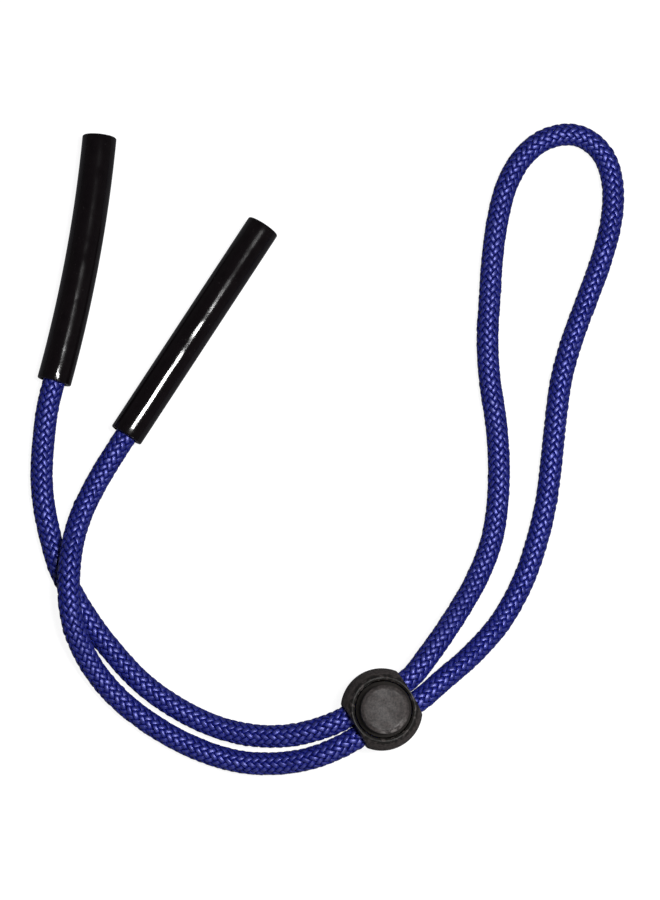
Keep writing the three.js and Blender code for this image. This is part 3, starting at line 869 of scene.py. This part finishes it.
class RETAINER_OT_sleeves(bpy.types.Operator):
    """Make the two temple sleeves and finish the bond and the fused cord tip inside each"""
    bl_idname = "retainer.sleeves"
    bl_label = "Temple sleeves"

    def execute(self, context):
        sleeve, braid = context.scene.retainer_sleeve, context.scene.retainer_braid
        rubber = sleeve_material(sleeve)
        bond = moulded_material(
            "bond_adhesive", sleeve.bond, (0.014, 0.012, 0.013), (0.3, 0.45), 1500.0, 0.00003)[0]
        fused = moulded_material(
            "fused_cord", braid.fused, (0.012, 0.012, 0.09), (0.28, 0.4), 1200.0, 0.00008)[0]
        for side, lie in (("left", LEFT_SLEEVE), ("right", RIGHT_SLEEVE)):
            tube = make_sleeve(side + "_temple_sleeve", lie, sleeve)
            finish(tube, rubber, side + "_sleeve", "strap")
            for cad, material in ((side + "_bond", bond), (side + "_fused_tip", fused)):
                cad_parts[cad].data.materials.clear()
                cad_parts[cad].data.materials.append(material)
        return {"FINISHED"}


# ---- the toggle ----

ROUND_SIDES = 96
MOUTH_RING = 0.3 * MM  # flat ring round the ball's mouth
BALL_ROUNDING = 0.4 * MM
HEAD_ROUNDING = 0.17 * MM
HEAD_DISH = ((0.5 * MM, 0.04 * MM), (1.5 * MM, 0.03 * MM))  # width and drop of each step of the dish


def slot_cutter(toggle, ceiling):
    """A bar with half-round sides along the toggle's axis, as wide as the pair of strands."""
    half = toggle.slot_half_height
    low = toggle.slot_height - half
    shift = toggle.slot_half_width - half
    select_nothing()
    bpy.ops.mesh.primitive_cylinder_add(
        vertices=64, radius=half, depth=0.04, location=(0, 0, toggle.slot_height),
        rotation=(math.radians(90), 0, math.radians(90)))
    bar = placed("slot_cutter")
    edit(bar)
    for way in (-1, 1):
        pick(bar, "VERT", lambda corner: corner.co.y * way > TINY)
        bpy.ops.transform.translate(value=(0, way * shift, 0))
    if ceiling > low + 2 * half + TINY:
        pick(bar, "VERT", lambda corner: corner.co.z > toggle.slot_height + TINY)
        bpy.ops.transform.translate(value=(0, 0, ceiling - low - 2 * half))
    return turned(done(bar))


def turned(piece):
    """Turns a piece made along the x axis round to the toggle's own axis."""
    select_only(piece)
    piece.rotation_euler.z = TOGGLE_TURN
    settle()
    return piece


def upright_block(name, size, centre):
    """A small block that stands square to the toggle's own axis."""
    select_nothing()
    bpy.ops.mesh.primitive_cube_add(size=1, location=centre, scale=size)
    return turned(placed(name))


def mouth_of(toggle):
    """The ball's mouth: its radius, and the radius and height of the flat ring round it."""
    mouth = toggle.bore_radius + toggle.mouth_chamfer
    ring = mouth + MOUTH_RING
    return mouth, ring, toggle.slot_height + math.sqrt(toggle.ball_radius ** 2 - ring ** 2)


def make_ball(toggle):
    """The ball: a sphere with a deeper belly, a flat base, two flats, a bore, a well and the cord slot."""
    radius, middle = toggle.ball_radius, toggle.slot_height
    mouth, ring, ring_height = mouth_of(toggle)
    belly = middle / math.sqrt(1 - (toggle.base_radius / radius) ** 2)
    bore_floor = toggle.foot_bottom - toggle.travel - toggle.clearance
    select_nothing()
    bpy.ops.mesh.primitive_uv_sphere_add(
        segments=ROUND_SIDES, ring_count=64, radius=radius, location=(0, 0, middle))
    ball = placed("toggle_ball")
    edit(ball)
    pick(ball, "VERT", lambda corner: corner.co.z < middle - TINY)
    bpy.ops.transform.resize(value=(1, 1, belly / radius), center_override=(0, 0, middle))
    cut_off((0, 0, 0), -UP)
    cut_off((0, 0, ring_height), UP)
    pick(ball, "FACE", at_height(ring_height))
    bpy.ops.mesh.inset(thickness=ring - mouth)
    bpy.ops.mesh.inset(thickness=mouth - toggle.bore_radius, depth=-toggle.mouth_chamfer)
    down = ring_height - toggle.mouth_chamfer - bore_floor
    extrude(0, 0, -down)
    bpy.ops.mesh.inset(thickness=toggle.bore_radius - toggle.well_radius)
    extrude(0, 0, toggle.well_floor - bore_floor)
    axis = level_direction(TOGGLE_TURN)
    for way in (-1, 1):
        cut_off(axis * way * toggle.flat_offset, axis * way)
    done(ball)
    combine(ball, slot_cutter(toggle, middle + toggle.slot_half_height), "DIFFERENCE")
    reach = toggle.button_radius + toggle.lug_proud + toggle.clearance
    groove = (toggle.lug_width + 2 * toggle.clearance, 2 * MM,
              toggle.lug_height + toggle.travel + 2 * toggle.clearance)
    for way in (-1, 1):
        centre = (0, way * (reach - MM), middle - toggle.travel / 2)
        combine(ball, upright_block("lug_groove", groove, centre), "DIFFERENCE")
    apply_modifier(
        ball, "BEVEL", width=BALL_ROUNDING, segments=4, limit_method="ANGLE",
        angle_limit=math.radians(28), use_clamp_overlap=True, harden_normals=False)
    return tidy_mesh(ball, 32)


def make_plunger(toggle):
    """The button: a round head on a sloping shoulder, two webs beside the strands, a foot and two stops."""
    radius, head = toggle.button_radius, toggle.head_radius
    face_height = mouth_of(toggle)[2] + toggle.button_proud
    ceiling = toggle.slot_height + toggle.slot_half_height + toggle.travel
    slope_start = ceiling + toggle.roof_edge
    slope = toggle.roof_thickness - toggle.roof_edge
    neck = face_height - toggle.button_edge_drop - ceiling - toggle.roof_thickness
    depth = slope_start - toggle.foot_bottom
    select_nothing()
    bpy.ops.mesh.primitive_cylinder_add(
        vertices=ROUND_SIDES, radius=radius, depth=depth, location=(0, 0, toggle.foot_bottom + depth / 2))
    plunger = placed("toggle_plunger")
    edit(plunger)
    pick(plunger, "FACE", at_height(slope_start))
    bpy.ops.mesh.inset(thickness=radius - head, depth=slope)
    extrude(0, 0, neck)
    bpy.ops.mesh.inset(thickness=toggle.button_edge, depth=toggle.button_edge_drop)

    def around_the_head(edge):
        flat = abs(edge.verts[0].co.z - edge.verts[1].co.z) < TINY
        sharp = edge.calc_face_angle(0) > 0.3
        return flat and edge.verts[0].co.z > slope_start + TINY and sharp

    pick(plunger, "EDGE", around_the_head)
    bpy.ops.mesh.bevel(offset=HEAD_ROUNDING, segments=3, profile=0.5)
    pick(plunger, "FACE", lambda face: at_height(face_height)(face) and len(face.verts) > 8)
    for width, drop in HEAD_DISH:
        bpy.ops.mesh.inset(thickness=width, depth=-drop)
    pick(plunger, "FACE", at_height(toggle.foot_bottom))
    bpy.ops.mesh.inset(thickness=radius - toggle.well_radius)
    extrude(0, 0, toggle.pocket_depth)
    done(plunger)
    for way in (-1, 1):
        centre = (0, way * (radius + toggle.lug_proud - MM / 2), toggle.slot_height)
        lug = upright_block("lug", (toggle.lug_width, MM, toggle.lug_height), centre)
        combine(plunger, lug, "UNION")
    combine(plunger, slot_cutter(toggle, ceiling), "DIFFERENCE")
    return tidy_mesh(plunger, 32)


def make_spring(toggle):
    """A round wire wound into a coil."""
    rod = toggle.wire / 2
    rise = toggle.coil_high - toggle.coil_low - toggle.wire
    select_nothing()
    bpy.ops.mesh.primitive_circle_add(
        vertices=16, radius=rod, fill_type="NOTHING", rotation=(math.radians(90), 0, 0),
        location=(toggle.coil / 2 - rod, 0, toggle.coil_low + rod))
    coil = placed("toggle_coil_spring")
    steps = round(44 * toggle.turns)
    apply_modifier(
        coil, "SCREW", angle=2 * math.pi * toggle.turns, screw_offset=rise, iterations=1, steps=steps,
        render_steps=steps, axis="Z", use_smooth_shade=True)
    edit(coil)
    select_whole()
    bpy.ops.mesh.fill_holes(sides=32)
    return tidy_mesh(turned(done(coil)), 50)


class RETAINER_OT_toggle_ball(bpy.types.Operator):
    """Make the ball of the cord lock"""
    bl_idname = "retainer.toggle_ball"
    bl_label = "Toggle ball"

    def execute(self, context):
        toggle = context.scene.retainer_toggle
        finish(make_ball(toggle), ball_material(toggle), "toggle_body", "toggle")
        return {"FINISHED"}


class RETAINER_OT_toggle_button(bpy.types.Operator):
    """Make the sprung button of the cord lock"""
    bl_idname = "retainer.toggle_button"
    bl_label = "Toggle button"

    def execute(self, context):
        toggle = context.scene.retainer_toggle
        finish(make_plunger(toggle), button_material(toggle), "toggle_button", "button")
        return {"FINISHED"}


class RETAINER_OT_toggle_spring(bpy.types.Operator):
    """Make the compression spring under the button"""
    bl_idname = "retainer.toggle_spring"
    bl_label = "Toggle spring"

    def execute(self, context):
        toggle = context.scene.retainer_toggle
        coil = make_spring(toggle)
        finish(coil, steel_material(toggle), "toggle_spring", "toggle")
        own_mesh(coil)
        return {"FINISHED"}


# ---- the stage ----

def aim(thing, place, side, back):
    """Places a camera or a light; back points away from what it looks at, side to its right."""
    bpy.context.scene.collection.objects.link(thing)
    turn = Matrix((side, back.cross(side), back)).transposed().to_4x4()
    thing.matrix_world = Matrix.Translation(place) @ turn


def add_camera(stage):
    data = bpy.data.cameras.new("camera")
    data.lens = stage.lens
    data.sensor_width = 36
    camera = bpy.data.objects.new("camera", data)
    eye, target = Vector(stage.eye), Vector(stage.target)
    ahead = (target - eye).normalized()
    aim(camera, eye, ahead.cross(Vector((0, 1, 0))).normalized(), -ahead)
    bpy.context.scene.camera = camera


def add_light(name, place, target, size, power, heading=0.0):
    """A rectangle of light; its long side runs at the heading, seen from above."""
    data = bpy.data.lights.new(name, "AREA")
    data.shape = "RECTANGLE"
    data.size, data.size_y = size
    data.energy = power
    back = (Vector(place) - Vector(target)).normalized()
    side = level_direction(heading)
    aim(bpy.data.objects.new(name, data), place, (side - back * side.dot(back)).normalized(), back)


def floor_material(stage):
    """Pale floor that the camera sees almost without shadow."""
    made = bpy.data.materials.new("pale_floor")
    tree = empty_tree(made)
    seen = node(tree, "LightPath").outputs["Is Camera Ray"]
    tone = mix_colour(tree, seen, (0.15, 0.15, 0.16, 1), solid(stage.floor))
    plain = node(tree, "BsdfDiffuse", {"Color": tone}).outputs[0]
    lit = node(tree, "Emission", {"Color": (1.0, 1.0, 1.0, 1), "Strength": 1.15}).outputs[0]
    share = times(tree, seen, 0.8)
    blend = node(tree, "MixShader", {0: share, 1: plain, 2: lit}).outputs[0]
    node(tree, "OutputMaterial", {"Surface": blend})
    return made


def room_light():
    """A dim room, brighter towards the walls."""
    world = bpy.data.worlds.new("room")
    tree = empty_tree(world)
    direction = node(tree, "TexCoord").outputs["Generated"]
    height = node(tree, "SeparateXYZ", {0: direction}).outputs[2]
    strength = remap(tree, height, 0.15, 0.75, 0.07, 0.03)
    back = node(tree, "Background", {"Color": (1, 1, 1, 1), "Strength": strength}).outputs[0]
    node(tree, "OutputWorld", {"Surface": back})
    bpy.context.scene.world = world


class RETAINER_OT_camera(bpy.types.Operator):
    """Place the camera"""
    bl_idname = "retainer.camera"
    bl_label = "Camera"

    def execute(self, context):
        add_camera(context.scene.retainer_stage)
        return {"FINISHED"}


class RETAINER_OT_stage(bpy.types.Operator):
    """Lay a plain pale floor and light it softly"""
    bl_idname = "retainer.stage"
    bl_label = "Floor and light"

    def execute(self, context):
        stage = context.scene.retainer_stage
        select_nothing()
        bpy.ops.mesh.primitive_plane_add(size=6, location=(0, 0, CAD_BOX[0][2] - 0.0003))
        floor = placed("floor")
        floor.data.materials.append(floor_material(stage))
        add_light(
            "key", (0.103, 0.05, 0.62), (-0.03, 0.06, 0), (0.2, 0.05), stage.key, heading=math.radians(-27))
        add_light("front_fill", (0.10, -0.75, 0.42), (0, 0, 0.01), (0.3, 0.12), 0.8)
        room_light()
        context.scene.view_settings.view_transform = "Standard"
        return {"FINISHED"}


class RETAINER_OT_effects(bpy.types.Operator):
    """Build the surface effects that the materials share"""
    bl_idname = "retainer.effects"
    bl_label = "Surface effects"

    def execute(self, context):
        build_moulded_grain()
        build_handling()
        build_edge_ring()
        build_fibres()
        return {"FINISHED"}


# ---- panel and registration ----

STEPS = ("camera", "effects", "cord", "sleeves", "toggle_ball", "toggle_button", "toggle_spring", "stage")


class VIEW3D_PT_retainer(bpy.types.Panel):
    """Lists the steps that make the retainer"""
    bl_label = "Eyewear retainer"
    bl_space_type = "VIEW_3D"
    bl_region_type = "UI"
    bl_category = "Retainer"

    def draw(self, context):
        column = self.layout.column(align=True)
        for step in STEPS:
            column.operator("retainer." + step)


SETTINGS = {
    "retainer_braid": BraidSettings,
    "retainer_sleeve": SleeveSettings,
    "retainer_toggle": ToggleSettings,
    "retainer_stage": StageSettings,
}
CLASSES = (
    *SETTINGS.values(), RETAINER_OT_camera, RETAINER_OT_effects, RETAINER_OT_cord, RETAINER_OT_sleeves,
    RETAINER_OT_toggle_ball, RETAINER_OT_toggle_button, RETAINER_OT_toggle_spring, RETAINER_OT_stage,
    VIEW3D_PT_retainer,
)


def register():
    for made in CLASSES:
        bpy.utils.register_class(made)
    for name, group in SETTINGS.items():
        setattr(bpy.types.Scene, name, bpy.props.PointerProperty(type=group))


def unregister():
    for name in SETTINGS:
        delattr(bpy.types.Scene, name)
    for made in reversed(CLASSES):
        bpy.utils.unregister_class(made)


def main():
    register()
    for step in STEPS:
        getattr(bpy.ops.retainer, step)()


if __name__ == "__main__":
    main()
